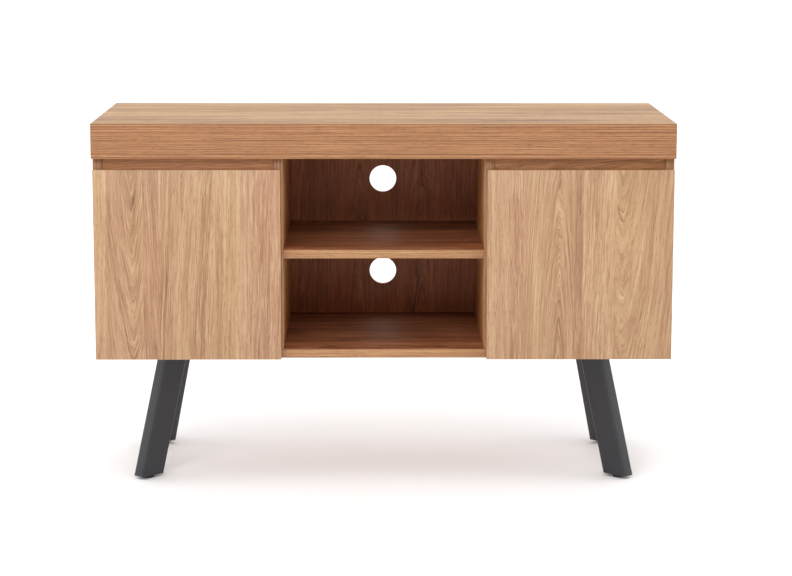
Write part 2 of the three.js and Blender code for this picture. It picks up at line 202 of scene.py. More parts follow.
def streaks(tree, grain, across, along, detail=2.0, roughness=0.5):
    """Random streaks about this many millimetres across and along the grain, from 0 to 1."""
    scale = (1 / across, 1 / along, 1)
    place = add_node(tree, "VectorMath", {0: grain, 1: scale}, operation="MULTIPLY").outputs[0]
    inputs = {"Vector": place, "Scale": 1.0, "Detail": detail, "Roughness": roughness}
    return add_node(tree, "TexNoise", inputs).outputs[0]


def sum_of(tree, start, *terms):
    """start plus each (value, weight) pair."""
    total = start
    for value, weight in terms:
        inputs = {0: value, 1: weight, 2: total}
        total = add_node(tree, "Math", inputs, operation="MULTIPLY_ADD").outputs[0]
    return total


def read_leaf(tree):
    """What the veneered meshes store: place in the leaf, rings, and how the leaf is figured."""
    grain, rings, figure = [
        add_node(tree, "Attribute", attribute_name=name).outputs["Vector"]
        for name in ("grain", "rings", "figure")
    ]
    return (
        grain,
        add_node(tree, "SeparateXYZ", {0: rings}).outputs,
        add_node(tree, "SeparateXYZ", {0: figure}).outputs,
    )


def bend(tree, grain, wave):
    """How far slow growth and curl push the wood sideways here, in millimetres."""
    terms = []
    for size, still, wavy in BENDS:
        off = sum_of(tree, -0.5, (streaks(tree, grain, *size), 1.0))
        terms.append((off, sum_of(tree, still, (wave, wavy))))
    return sum_of(tree, 0.0, *terms)


def ring_radius(tree, across, depth):
    """The radius of a rounded arch: how many millimetres of growth lie between here and the pith."""
    total = 0.0
    for reach in (across, depth):
        size = add_node(tree, "Math", {0: reach}, operation="ABSOLUTE").outputs[0]
        power = add_node(tree, "Math", {0: size, 1: ARCH}, operation="POWER").outputs[0]
        total = sum_of(tree, total, (power, 1.0))
    return add_node(tree, "Math", {0: total, 1: 1 / ARCH}, operation="POWER").outputs[0]


def ring_lines(tree, radius, grain, unevenness, wave):
    """Dark latewood lines with pale wood beside them, around a mean of 0 and bolder in wavy leaves."""
    inputs = {"W": radius, "Scale": RING_DRIFT}
    uneven = add_node(tree, "TexNoise", inputs, noise_dimensions="1D").outputs[0]
    count = sum_of(tree, 0.0, (radius, 1 / RING), (uneven, unevenness))
    ring = add_node(tree, "Math", {0: count}, operation="FRACT").outputs[0]
    line = add_node(tree, "ValToRGB", {0: ring}, RING_PROFILE).outputs[0]
    patchy = streaks(tree, grain, *LINE_PATCHES)
    strength = add_node(tree, "ValToRGB", {0: patchy}, [(0.36, 0.3), (0.6, 1.0)]).outputs[0]
    centred = sum_of(tree, -MEAN_LINE, (line, 1.0))
    drawn = add_node(tree, "Math", {0: centred, 1: strength}, operation="MULTIPLY").outputs[0]
    bold = sum_of(tree, 0.6, (wave, 3.0))
    return add_node(tree, "Math", {0: drawn, 1: bold}, operation="MULTIPLY").outputs[0]


def oak(
    name, stops, line_depth=0.5, fibre_depth=1.1, streak_depth=0.5, broad_depth=0.4,
    fibre=(1.9, 90), unevenness=5.0, roughness=0.42,
):
    """Lacquered oak: stops run from the palest wood to the darkest, and each depth is a contrast."""
    material, tree, surface = new_material(name)
    grain, (across, depth, tone), (wave, fleck, pink) = read_leaf(tree)
    bent_across = sum_of(tree, 0.0, (across, 1.0), (bend(tree, grain, wave), 1.0))
    ragged_size, ragged_by = RAGGED
    ragged = streaks(tree, grain, *ragged_size, 2, 0.6)
    cut_depth = sum_of(tree, -ragged_by / 2, (depth, 1.0), (ragged, ragged_by))
    radius = ring_radius(tree, bent_across, cut_depth)
    lines = ring_lines(tree, radius, grain, unevenness, wave)

    # The fibres follow the rings, so they run around the arches too. The sheet number drifts
    # across the leaf, so that the two halves of an arch aren't each other's mirror image.
    _, length, sheet = add_node(tree, "SeparateXYZ", {0: grain}).outputs
    drifting = sum_of(tree, 0.0, (sheet, 1.0), (bent_across, SHEET_DRIFT))
    bent = add_node(tree, "CombineXYZ", {0: radius, 1: length, 2: drifting}).outputs[0]
    fibres = streaks(tree, bent, *fibre, 2, 0.65)
    streak = streaks(tree, bent, STREAK_WIDTH, 3 * fibre[1])
    broad = streaks(tree, grain, *BROAD)
    inputs = {0: radius, 1: HEARTWOOD[0], 2: HEARTWOOD[1], 3: 0, 4: 1}
    core = add_node(tree, "MapRange", inputs).outputs[0]
    shade = sum_of(
        tree, 0.5 - 0.5 * (fibre_depth + streak_depth + broad_depth),
        (tone, 1.0), (lines, line_depth), (fibres, fibre_depth), (streak, streak_depth),
        (broad, broad_depth), (core, 0.12),
    )
    colour = add_node(tree, "ValToRGB", {0: shade}, stops).outputs[0]

    pore_noise = streaks(tree, bent, *PORE, 1)
    pore = add_node(tree, "ValToRGB", {0: pore_noise}, [(0.55, 0), (0.68, 1)]).outputs[0]
    pale_noise = streaks(tree, bent, *PALE_FLECK, 1)
    pale = add_node(tree, "ValToRGB", {0: pale_noise}, [(0.54, 0), (0.68, 1)]).outputs[0]
    for mask, amount, tint in (
        (pore, 0.34, stops[-1][1]),
        (pale, sum_of(tree, 0.22, (fleck, 0.5)), stops[0][1]),
    ):
        share = add_node(tree, "Math", {0: mask, 1: amount}, operation="MULTIPLY").outputs[0]
        inputs = {0: share, 6: colour, 7: linear(tint)}
        colour = add_node(tree, "Mix", inputs, data_type="RGBA").outputs[2]

    patches = streaks(tree, grain, *WARM_PATCHES)
    warmth = sum_of(tree, -1.0, (pink, 1.0), (patches, 2.0), (core, -1.2))
    inputs = {0: (0, -0.02, 0.025), 1: warmth, 2: (1, 1, 1)}
    tint = add_node(tree, "VectorMath", inputs, operation="MULTIPLY_ADD").outputs[0]
    tinted = add_node(tree, "VectorMath", {0: colour, 1: tint}, operation="MULTIPLY").outputs[0]
    tree.links.new(tinted, surface.inputs["Base Color"])

    # matt lacquer: it fills the fibres but sinks into the pores
    gloss = sum_of(tree, roughness - 0.06, (fibres, 0.12), (pore, 0.14))
    tree.links.new(gloss, surface.inputs["Roughness"])
    surface.inputs["IOR"].default_value = OAK_IOR
    relief = sum_of(tree, 0.0, (fibres, 0.4), (pore, -0.6), (lines, 0.2))
    bump = add_node(tree, "Bump", {"Height": relief, "Strength": 0.4, "Distance": OAK_RELIEF})
    tree.links.new(bump.outputs[0], surface.inputs["Normal"])
    return material


# %% [markdown]
# ### Eight tones of oak
#
# One material can't serve every board, because each batch of veneer has its own tone, and edging is cut
# straight along the grain. So the same function is called once for each. The boards around the open bay and
# the finger gaps are mostly seen in shade, and four of the tones carry painted light and shade for it:
# painted light on the rails and dividers, and painted shade on the back panel's inner face, the bay's shelf
# and the bottom board. With the doors open, in full light, they look darker, redder or more orange than the
# doors.

# %% Eight tones of oak
# Crown-cut leaves for the doors, the sides and the back: pale and warm, with soft arches.
DOOR_STOPS = [(0, "#BA9977"), (0.3, "#AD8966"), (0.5, "#A27B59"), (0.72, "#926A4A"), (1, "#70482D")]
# The top, the board under it and the loose shelves, a little yellower.
TOP_STOPS = [(0, "#BF9D72"), (0.3, "#AD865F"), (0.5, "#A17A52"), (0.72, "#926845"), (1, "#704728")]
# Straight-grained edging, deeper in tone.
EDGE_STOPS = [(0, "#B28358"), (0.3, "#A07048"), (0.5, "#92623B"), (0.72, "#7D502C"), (1, "#563118")]
# The same edging on the shelf and the bottom board, paler.
SHELF_EDGE_STOPS = [(0, "#BC9668"), (0.3, "#AA8055"), (0.5, "#9D6F47"), (0.72, "#855936"), (1, "#5C391D")]
# The rails behind the finger gaps, with painted light: lighter and more orange than the edging, to brighten
# the shade that they lie in.
RAIL_PAINTED_LIGHT_STOPS = [(0, "#CD9663"), (0.3, "#BD8355"), (0.5, "#AE7347"), (0.72, "#996138"), (1, "#714222")]
# The dividers, with painted light: the palest and most golden, to brighten the shade that the bay casts on
# them.
DIVIDER_PAINTED_LIGHT_STOPS = [(0, "#EBB77B"), (0.3, "#D9A16A"), (0.5, "#C88D59"), (0.72, "#B07747"), (1, "#82532D")]
# The back panel's inner face, with painted shade: redder and a little darker than the doors, as it looks in
# the bay's shade.
INSIDE_PAINTED_SHADE_STOPS = [(0, "#CF8758"), (0.3, "#B87144"), (0.5, "#A86339"), (0.72, "#93522D"), (1, "#69341A")]
# The bay's shelf and the bottom board, with painted shade: the darkest and reddest, and strongly streaked.
SHELF_PAINTED_SHADE_STOPS = [(0, "#C28760"), (0.3, "#A2653F"), (0.5, "#8A5131"), (0.72, "#6F3C22"), (1, "#462311")]

oak_door = oak("crown_cut_oak_veneer", DOOR_STOPS, 0.42, 1.1, 0.7, 0.5, fibre=(1.7, 90))
oak_top = oak("oak_veneer_top", TOP_STOPS, 0.5, 1.8, 0.8, 1.4, fibre=(1.9, 120), roughness=0.62)
oak_edge = oak(
    "straight_grained_oak_edging", EDGE_STOPS, 1.4, 1.1, 0.0, 0.0, fibre=(1.3, 150), unevenness=2.0,
)
oak_shelf_edge = oak(
    "pale_oak_edging", SHELF_EDGE_STOPS, 0.9, 1.0, 0.1, 0.1, fibre=(1.5, 150), unevenness=3.0,
)
# The next four tones carry painted light and shade: rails and dividers painted lighter, the back panel's
# inner face and the bay's shelf painted redder and darker.
oak_rail_painted_light = oak("oak_veneer_rail_painted_light", RAIL_PAINTED_LIGHT_STOPS, 0.3, 0.6, 0.15, 0.1, fibre=(1.9, 150))
oak_divider_painted_light = oak("oak_veneer_divider_painted_light", DIVIDER_PAINTED_LIGHT_STOPS, 0.3, 0.8, fibre=(1.9, 120))
oak_inside_painted_shade = oak("oak_veneer_inside_painted_shade", INSIDE_PAINTED_SHADE_STOPS, 0.3, 1.0, roughness=0.5)
oak_shelf_painted_shade = oak("oak_veneer_shelf_painted_shade", SHELF_PAINTED_SHADE_STOPS, 0.7, 2.4, 0.8, 0.8, fibre=(1.9, 150), roughness=0.55)
oak_tones = (
    oak_door, oak_top, oak_edge, oak_shelf_edge, oak_rail_painted_light, oak_divider_painted_light, oak_inside_painted_shade, oak_shelf_painted_shade,
)
print("tones of oak:", len(oak_tones))

# %% [markdown]
# ## Boards
#
# A board comes out of the saw with knife-sharp edges, and a maker eases them with a stroke of fine
# paper. The CAD solid keeps its sharp edges, so each board is copied from it, its flat faces are
# merged again, every edge is rounded a little, and the copy stands in for the solid. Then the
# veneer is laid: each face gets its grain direction, and the face is divided into leaves.

# %% Boards
EASING = 0.6 * MM
DOOR_EASING = 0.8 * MM
TOP_EASING = 0.3 * MM
EASING_SEGMENTS = 2
AXES = {"x": 0, "y": 1, "z": 2}


def copied_mesh(node):
    """The CAD solid's mesh with its flat faces merged, in a new bmesh."""
    mesh = bmesh.new()
    mesh.from_mesh(bpy.data.objects[node].data)
    bmesh.ops.remove_doubles(mesh, verts=mesh.verts, dist=1e-6)
    bmesh.ops.dissolve_limit(
        mesh, angle_limit=math.radians(1), use_dissolve_boundaries=False,
        verts=mesh.verts, edges=mesh.edges,
    )
    return mesh


def ease_edges(mesh, width, segments, sharper_than=30):
    edges = [e for e in mesh.edges if len(e.link_faces) == 2
             and e.calc_face_angle(0) > math.radians(sharper_than)]
    bmesh.ops.bevel(
        mesh, geom=edges, offset=width, offset_type="OFFSET", segments=segments, profile=0.5,
        affect="EDGES", clamp_overlap=True,
    )


def add_piece(name, mesh, body, material, stands_for=()):
    data = bpy.data.meshes.new(name)
    mesh.to_mesh(data)
    mesh.free()
    data.materials.append(material)
    piece = bpy.data.objects.new(name, data)
    bpy.context.scene.collection.objects.link(piece)
    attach(piece, body)
    if stands_for:
        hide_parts(*stands_for)
    return piece


def smooth(piece, degrees=35):
    piece.data.polygons.foreach_set("use_smooth", [True] * len(piece.data.polygons))
    piece.data.set_sharp_from_angle(angle=math.radians(degrees))


BODIES = frame["record"]["behaviour"]["bodies"]
BODY_OF = {node: body for body, nodes in BODIES.items() for node in nodes}

# %% [markdown]
# ### Leaves
#
# A leaf is its width across the grain, where its pith line runs (as a share of its width), how deep
# the knife was at its low end and at its high end, and its tone, from -0.2 pale to 0.2 dark. Where
# the low end is deeper the arches point down, and where the high end is deeper they point up. Wave
# makes it curly, fleck gives it pale streaks, and pink is its hue, from -1 yellow to 1 pink. Boards
# that nobody looks at closely get leaves from seeded dice.

# %% Leaves


def leaf(width, pith=0.5, depths=(60, 60), tone=0.0, wave=0.15, fleck=0.0, pink=0.0, narrow=1.0):
    return {
        "width": width, "pith": pith, "depths": depths, "tone": tone, "narrow": narrow,
        "figure": (wave, fleck, pink),
    }


NARROWEST = 2  # mm, the narrowest strip that a leaf is cut to
NEXT_LEAF = 7.3  # how far the noise moves on from one leaf to the next
FAR_FACE = 50  # and from the near face of a board to the far one
LEFT_DOOR_LEAVES = [
    leaf(22, -3.0, (70, 64), tone=-0.12, wave=0.05, pink=-0.2),
    leaf(62, 0.71, (88, 8), tone=0.02, wave=0.14, fleck=0.6, pink=0.1, narrow=2.0),
    leaf(28, 3.0, (60, 40), tone=0.07, wave=0.05, pink=0.9),
    leaf(93, 1.5, (20, 50), tone=0.0, wave=0.26, fleck=0.3, pink=-0.5),
    leaf(50, -2.0, (58, 50), tone=-0.12, wave=0.05, fleck=0.2, pink=-0.9),
    leaf(66, 2.2, (40, 50), tone=0.0, wave=0.05, fleck=1.0, pink=1.0),
]
RIGHT_DOOR_LEAVES = [
    leaf(40, -1.6, (44, 52), tone=-0.09, wave=0.1, fleck=0.3, pink=0.1),
    leaf(22, 4.0, (60, 55), tone=0.06, wave=0.05, fleck=0.9, pink=1.0),
    leaf(87, 0.71, (8, 84), tone=-0.02, wave=0.45, fleck=0.5, pink=-0.3, narrow=2.6),
    leaf(16, 5.0, (60, 60), tone=0.13, wave=0.05, pink=0.8),
    leaf(58, 2.4, (40, 55), tone=-0.07, wave=0.1, fleck=1.2, pink=0.0),
    leaf(98, 0.1, (80, 20), tone=-0.02, wave=0.15, fleck=0.2, pink=-0.3, narrow=1.3),
]


def dealt_leaves(width, seed):
    dice = random.Random(seed)
    leaves = []
    while width > 0:
        arched = (dice.uniform(6, 14), dice.uniform(30, 45))
        cuts = [(0.7, arched), (0.3, arched[::-1]), (-1.6, (50, 44)), (2.6, (46, 54))]
        pith, depths = dice.choice(cuts)
        leaves.append(leaf(
            dice.uniform(45, 105), pith, depths, dice.uniform(-0.1, 0.1),
            dice.uniform(0, 0.3), dice.uniform(0, 0.8), dice.uniform(-0.9, 0.9), dice.uniform(1, 1.8),
        ))
        width -= leaves[-1]["width"]
    return leaves


def cut_leaves(mesh, axis, starts, end):
    """Cuts the faces where one leaf meets the next."""
    for start in starts[1:]:
        if start > end - NARROWEST:
            continue
        point, normal = Vector((0, 0, 0)), Vector((0, 0, 0))
        point[axis], normal[axis] = start * MM, 1
        everything = mesh.verts[:] + mesh.edges[:] + mesh.faces[:]
        bmesh.ops.bisect_plane(mesh, geom=everything, dist=1e-7, plane_co=point, plane_no=normal)


def lay_veneer(mesh, grain, thickness, leaves, seed):
    """Cuts the faces into leaves and stores where each point lies in its leaf, in millimetres."""
    grain_axis, thickness_axis = AXES[grain], AXES[thickness]
    across_axis = 3 - grain_axis - thickness_axis
    low = [min(v.co[i] for v in mesh.verts) / MM for i in range(3)]
    high = [max(v.co[i] for v in mesh.verts) / MM for i in range(3)]
    starts = [low[across_axis]]
    for cut in leaves[:-1]:
        starts.append(starts[-1] + cut["width"])
    cut_leaves(mesh, across_axis, starts, high[across_axis])
    layers = [mesh.loops.layers.float_vector.new(name) for name in ("grain", "rings", "figure")]
    edge_leaf = leaf(60, -1.0, (0, 0), wave=0)
    for face in mesh.faces:
        n = [abs(c) for c in face.normal]
        facing = n.index(max(n))
        face.material_index = 0 if facing == thickness_axis else 1
        middle = face.calc_center_median() / MM
        if facing == thickness_axis:
            if face.normal[facing] > 0:
                face.material_index = 2
            along, across = grain_axis, across_axis
            index = max(i for i in range(len(leaves)) if i == 0 or starts[i] <= middle[across_axis])
            laid, start = leaves[index], starts[index]
            leaf_seed = seed + NEXT_LEAF * index + (FAR_FACE if face.normal[facing] > 0 else 0)
        else:
            others = [i for i in range(3) if i != facing]
            along = grain_axis if facing != grain_axis else max(others, key=lambda i: high[i] - low[i])
            across = next(i for i in others if i != along)
            laid, start = edge_leaf, low[across]
            leaf_seed = seed + 20 + facing
        centre = start + laid["pith"] * laid["width"]
        low_depth, high_depth = laid["depths"]
        for loop in face.loops:
            u = loop.vert.co[across] / MM
            v = loop.vert.co[along] / MM
            share = (v - low[along]) / (high[along] - low[along])
            depth = low_depth + (high_depth - low_depth) * share
            loop[layers[0]] = (u - centre, v, leaf_seed)
            loop[layers[1]] = ((u - centre) * laid["narrow"], depth, laid["tone"])
            loop[layers[2]] = laid["figure"]


def board(
    node, grain, thickness, material, leaves=None, seed=0, easing=EASING, edging=None, reverse=None,
):
    """An eased, veneered copy of a CAD board. Its edges and its far face may have their own veneer."""
    low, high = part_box(node)
    across = 3 - AXES[grain] - AXES[thickness]
    leaves = leaves or dealt_leaves((high[across] - low[across]) / MM, seed)
    mesh = copied_mesh(node)
    ease_edges(mesh, easing, EASING_SEGMENTS)
    lay_veneer(mesh, grain, thickness, leaves, seed)
    piece = add_piece(f"{node}_veneered", mesh, BODY_OF[node], material, (node,))
    piece.data.materials.append(edging or material)
    piece.data.materials.append(reverse or material)
    smooth(piece)
    return piece


print("left door leaves:", sum(laid["width"] for laid in LEFT_DOOR_LEAVES), "mm")

# %% [markdown]
# ### Doors
#
# A maker picks the leaves for the doors first, because they are what people look at. Each door has
# six, of different widths and tones, with arches up one and down another, so they are written out
# one by one above and not dealt. The grain runs up and down.

# %% Doors
board("door_left", "z", "y", oak_door, LEFT_DOOR_LEAVES, seed=11, easing=DOOR_EASING)
board("door_right", "z", "y", oak_door, RIGHT_DOOR_LEAVES, seed=37, easing=DOOR_EASING)
print("leaves on the doors:", len(LEFT_DOOR_LEAVES), "and", len(RIGHT_DOOR_LEAVES))

# %% [markdown]
# ### Top
#
# The thick top is hollow: a veneered panel above, a plainer one below, and four strips that hide the
# hollow at the edges. The strips are straight-grained, so each is one leaf with its pith well
# outside it.

# %% Top
board("top_panel", "x", "z", oak_top, seed=5, easing=TOP_EASING)
apron_leaf = leaf(70, -1.0, (0, 0), wave=0)
for node in ("apron_front", "apron_rear"):
    board(node, "x", "y", oak_edge, [apron_leaf], seed=61, easing=TOP_EASING)
for node in ("apron_left", "apron_right"):
    board(node, "y", "x", oak_edge, [apron_leaf], seed=67, easing=TOP_EASING)
board("underboard", "x", "z", oak_top, seed=6)
low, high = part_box("apron_front")
print("apron height in mm:", round((high.z - low.z) / MM, 1))

# %% [markdown]
# ### Carcass
#
# The upright boards have their grain upright and the flat ones have it sideways, as a maker would lay
# it for strength. The cut edges of the panels and shelves are covered with edging.

# %% Carcass
# Painted light on the dividers and rails; painted shade on the bottom board, the bay shelf and the back
# panel's inner face.
for seed, (side, _) in enumerate(SIDES):
    board(f"side_panel_{side}", "z", "x", oak_door, seed=70 + seed, edging=oak_edge)
    board(f"divider_{side}", "z", "x", oak_divider_painted_light, seed=80 + seed, edging=oak_edge)
    board(f"rail_{side}", "x", "y", oak_rail_painted_light, seed=90 + seed)
    board(f"cabinet_shelf_{side}", "x", "z", oak_top, seed=100 + seed, edging=oak_shelf_edge)
board("bottom_panel", "x", "z", oak_shelf_painted_shade, seed=110, edging=oak_shelf_edge)
board("bay_shelf", "x", "z", oak_shelf_painted_shade, seed=112, edging=oak_shelf_edge)
board("back_panel", "z", "y", oak_inside_painted_shade, seed=114, reverse=oak_door)

# %% [markdown]
# ## Powder-coated legs
#
# The legs are steel tube, dusted with dry black powder that is baked until it flows. It comes out
# as a satin skin with a fine orange-peel texture, slightly lighter than true black.

# %% Powder coat
PEEL = 1.1 * MM  # the orange-peel's ripples
PEEL_RELIEF = 0.06 * MM
POWDER_CLOUDS = 18  # patches of tone in a metre, so about 55 mm each
POWDER_IOR = 1.5  # polyester
LEG_EASING = 0.35 * MM


def powder_coat():
    material, tree, surface = new_material("black_powder_coated_steel")
    place = add_node(tree, "TexCoord").outputs["Object"]
    peel = add_node(tree, "TexNoise", {"Vector": place, "Scale": 1 / PEEL, "Detail": 2}).outputs["Fac"]
    cloud = add_node(tree, "TexNoise", {"Vector": place, "Scale": POWDER_CLOUDS, "Detail": 3}).outputs["Fac"]
    colour = add_node(tree, "ValToRGB", {0: cloud}, [(0.3, "#1E1E22"), (0.7, "#242429")]).outputs[0]
    tree.links.new(colour, surface.inputs["Base Color"])
    tree.links.new(sum_of(tree, 0.28, (cloud, 0.1), (peel, 0.06)), surface.inputs["Roughness"])
    bump = add_node(tree, "Bump", {"Height": peel, "Strength": 0.25, "Distance": PEEL_RELIEF})
    tree.links.new(bump.outputs[0], surface.inputs["Normal"])
    surface.inputs["IOR"].default_value = POWDER_IOR
    return material


powder = powder_coat()


def eased_copy(node, material, width, segments=2, sharper_than=30, degrees=35):
    mesh = copied_mesh(node)
    ease_edges(mesh, width, segments, sharper_than)
    piece = add_piece(f"{node}_finished", mesh, BODY_OF[node], material, (node,))
    smooth(piece, degrees)
    return piece


CORNERS = [(end, side) for end in ("front", "rear") for side, _ in SIDES]
for end, side in CORNERS:
    eased_copy(f"leg_{end}_{side}", powder, LEG_EASING)
print("legs:", len(CORNERS))

# %% [markdown]
# ## Moulded plastic feet and plugs
#
# The levelling feet and the plugs in the tubes are moulded in black nylon, which takes the fine
# spark texture of its mould, so it looks a little grey where light grazes it.

# %% Feet and plugs
SPARK = 0.5 * MM  # the pits of the mould's texture
SPARK_RELIEF = 0.05 * MM
NYLON_IOR = 1.53
FOOT_EASING = 0.4 * MM
PLUG_EASING = 0.3 * MM


def nylon():
    material, tree, surface = new_material("black_moulded_nylon")
    place = add_node(tree, "TexCoord").outputs["Object"]
    spark = add_node(tree, "TexNoise", {"Vector": place, "Scale": 1 / SPARK, "Detail": 2}).outputs["Fac"]
    colour = add_node(tree, "ValToRGB", {0: spark}, [(0.35, "#08080A"), (0.7, "#0F0F11")]).outputs[0]
    tree.links.new(colour, surface.inputs["Base Color"])
    tree.links.new(sum_of(tree, 0.5, (spark, 0.15)), surface.inputs["Roughness"])
    bump = add_node(tree, "Bump", {"Height": spark, "Strength": 0.3, "Distance": SPARK_RELIEF})
    tree.links.new(bump.outputs[0], surface.inputs["Normal"])
    surface.inputs["IOR"].default_value = NYLON_IOR
    return material


black_nylon = nylon()
for end, side in CORNERS:
    eased_copy(f"leveller_{end}_{side}", black_nylon, FOOT_EASING)
    eased_copy(f"foot_plug_{end}_{side}", black_nylon, PLUG_EASING)
print("feet and plugs:", 2 * len(CORNERS))

# %% [markdown]
# ## Hinges and shelf pins
#
# The hinge parts are pressed from steel strip and nickel plated. Nickel is a warm grey metal, and
# the plate keeps faint rolling lines from the strip. The real lines are finer than a tenth of a
# millimetre, and are drawn about a millimetre apart so that they show.

# %% Nickel
ROLLING = (900, 60, 900)  # lines in a metre, so about 1.1 mm apart and 17 mm long
HINGE_EASING = 0.25 * MM
PIN_EASING = 0.2 * MM


def nickel_plate():
    material, tree, surface = new_material("satin_nickel_plate")
    place = add_node(tree, "TexCoord").outputs["Object"]
    rolled = add_node(tree, "VectorMath", {0: place, 1: ROLLING}, operation="MULTIPLY").outputs[0]
    lines = add_node(tree, "TexNoise", {"Vector": rolled, "Scale": 1, "Detail": 2}).outputs["Fac"]
    colour = add_node(tree, "ValToRGB", {0: lines}, [(0.3, "#B9B6AF"), (0.7, "#CFCCC6")]).outputs[0]
    tree.links.new(colour, surface.inputs["Base Color"])
    tree.links.new(sum_of(tree, 0.22, (lines, 0.14)), surface.inputs["Roughness"])
    surface.inputs["Metallic"].default_value = 1
    return material


nickel = nickel_plate()
ENDS = ("lower", "upper")
for side, _ in SIDES:
    for end in ENDS:
        for part in ("hinge_cup", "hinge_plate", "hinge_arm"):
            eased_copy(f"{part}_{end}_{side}", nickel, HINGE_EASING)
    for column in ("front", "rear"):
        for row in ("outer", "inner"):
            eased_copy(f"shelf_pin_{row}_{column}_{side}", nickel, PIN_EASING)
print("hinges:", len(SIDES) * len(ENDS))

# %% [markdown]
# ### Screws
#
# A cross-recessed screw head is a low dome with a four-pointed star pressed into it. Each one is
# lofted from rings of points: the rim, the dome, and then the edge and the floor of the star, where
# every sixth point reaches further out.

# %% Screws
RING_POINTS = 24
HEAD_PROFILE = [  # shares of the radius and of the height
    (1.0, 0.0), (1.0, 0.35), (0.93, 0.65), (0.75, 0.9), (0.62, 1.0),
]
STAR_REACH = (0.46, 0.17)  # at a point of the star and between two points
STAR_FLOOR = 0.28  # share of the head's height
UNDERCUT = 0.1 * MM  # a head sits this deep, so that no gap shows under it


def screw_heads(name, body, places, outward, radius, height):
    """Screw heads at these places, on a face that looks outward."""
    turn = Vector(outward).to_track_quat("Z", "Y")
    mesh = bmesh.new()
    for place in places:
        rings = [[(share, rise)] * RING_POINTS for share, rise in HEAD_PROFILE]
        for rise in (1.0, STAR_FLOOR):
            rings.append([(STAR_REACH[0 if i % 6 == 0 else 1], rise) for i in range(RING_POINTS)])
        loops = []
        for ring in rings:
            loop = []
            for i, (share, rise) in enumerate(ring):
                angle = math.tau * i / RING_POINTS
                flat = Vector((math.cos(angle), math.sin(angle), 0)) * share * radius
                flat.z = rise * height - UNDERCUT
                loop.append(mesh.verts.new(Vector(place) + turn @ flat))
            loops.append(loop)
        for lower, upper in zip(loops, loops[1:]):
            for i in range(RING_POINTS):
                j = (i + 1) % RING_POINTS
                mesh.faces.new((lower[i], lower[j], upper[j], upper[i]))
        mesh.faces.new(loops[-1])
        mesh.faces.new(loops[0][::-1])
    piece = add_piece(name, mesh, body, nickel)
    smooth(piece, 40)
    return piece


PLATE_THICKNESS = 3 * MM
WING_SCREW = 16 * MM  # above and below the middle of the hinge plate
CUP_SCREW = 22 * MM
CUP_SCREW_ASIDE = 3.5 * MM
ARM_SCREWS = (0.42, 0.8)  # shares of the arm's length, from its nose
WING_HEAD = (3.8 * MM, 1.6 * MM)  # radius and height
SMALL_HEAD = (3.4 * MM, 1.4 * MM)
LEG_HEAD = (4.6 * MM, 2.6 * MM)
heads = 0
for side, sign in SIDES:
    wing_places, cup_places, arm_places = [], [], []
    for end in ENDS:
        low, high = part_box(f"hinge_plate_{end}_{side}")
        middle = (low + high) / 2
        x = (high.x - PLATE_THICKNESS) if sign > 0 else (low.x + PLATE_THICKNESS)
        wing_places += [(x, middle.y, middle.z + dz) for dz in (-WING_SCREW, WING_SCREW)]
        low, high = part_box(f"hinge_cup_{end}_{side}")
        middle = (low + high) / 2
        x = middle.x - sign * CUP_SCREW_ASIDE
        cup_places += [(x, high.y, middle.z + dz) for dz in (-CUP_SCREW, CUP_SCREW)]
        low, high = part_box(f"hinge_arm_{end}_{side}")
        x = low.x if sign > 0 else high.x
        middle = (low + high) / 2
        arm_places += [(x, low.y + share * (high.y - low.y), middle.z) for share in ARM_SCREWS]
    inward = (-sign, 0, 0)
    screw_heads(f"wing_screws_{side}", "carcass", wing_places, inward, *WING_HEAD)
    screw_heads(f"arm_screws_{side}", "carcass", arm_places, inward, *SMALL_HEAD)
    screw_heads(f"cup_screws_{side}", f"{side}_door", cup_places, (0, 1, 0), *SMALL_HEAD)
    heads += len(wing_places) + len(arm_places) + len(cup_places)

LEG_PLATE = (110 * MM, 60 * MM)
LEG_PLATE_CORNER = 6 * MM
LEG_SCREWS = (44 * MM, 20 * MM)  # from the middle of the plate, along it and across it
for end, side in CORNERS:
    low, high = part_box(f"leg_{end}_{side}")
    sx = 1 if side == "right" else -1
    sy = 1 if end == "rear" else -1
    # the plate is turned 45 degrees, and its inner corner is the leg's innermost point
    reach = (sum(LEG_PLATE) / 2 - 2 * LEG_PLATE_CORNER) * math.sqrt(0.5) + LEG_PLATE_CORNER
    x = (low.x if sx > 0 else high.x) + sx * reach
    y = (low.y if sy > 0 else high.y) + sy * reach
    diagonal = Vector((sx, sy, 0)).normalized()
    aside = Vector((-diagonal.y, diagonal.x, 0))
    middle = Vector((x, y, high.z - PLATE_THICKNESS))
    places = [
        middle + diagonal * LEG_SCREWS[0] * a + aside * LEG_SCREWS[1] * b
        for a in (-1, 1) for b in (-1, 1)
    ]
    screw_heads(f"leg_screws_{end}_{side}", "carcass", places, (0, 0, -1), *LEG_HEAD)
    heads += len(places)
print("screw heads:", heads)

# %% [markdown]
# ### Hinge links
#
# The links of a concealed hinge are steel straps that carry the door. Real ones keep their length: they lie
# folded in the cup while the door is shut and unfold as it opens. The door here turns about one fixed axis,
# with no joint for a link, so each strap is a plain straight bar from just behind the arm's nose to just in
# front of it. It is for looks only.

# %% Hinge links
LINK_THICKNESS = 1.2 * MM
LINK_HEIGHT = 9 * MM
LINK_SPACING = 5 * MM
LINK_STEPS = 18
LINK_REST = (12 * MM, -1.5 * MM)  # behind and in front of the arm's nose
LINK_EASING = 0.25 * MM
LINK_CORNERS = [(-1, -1), (1, -1), (1, 1), (-1, 1)]


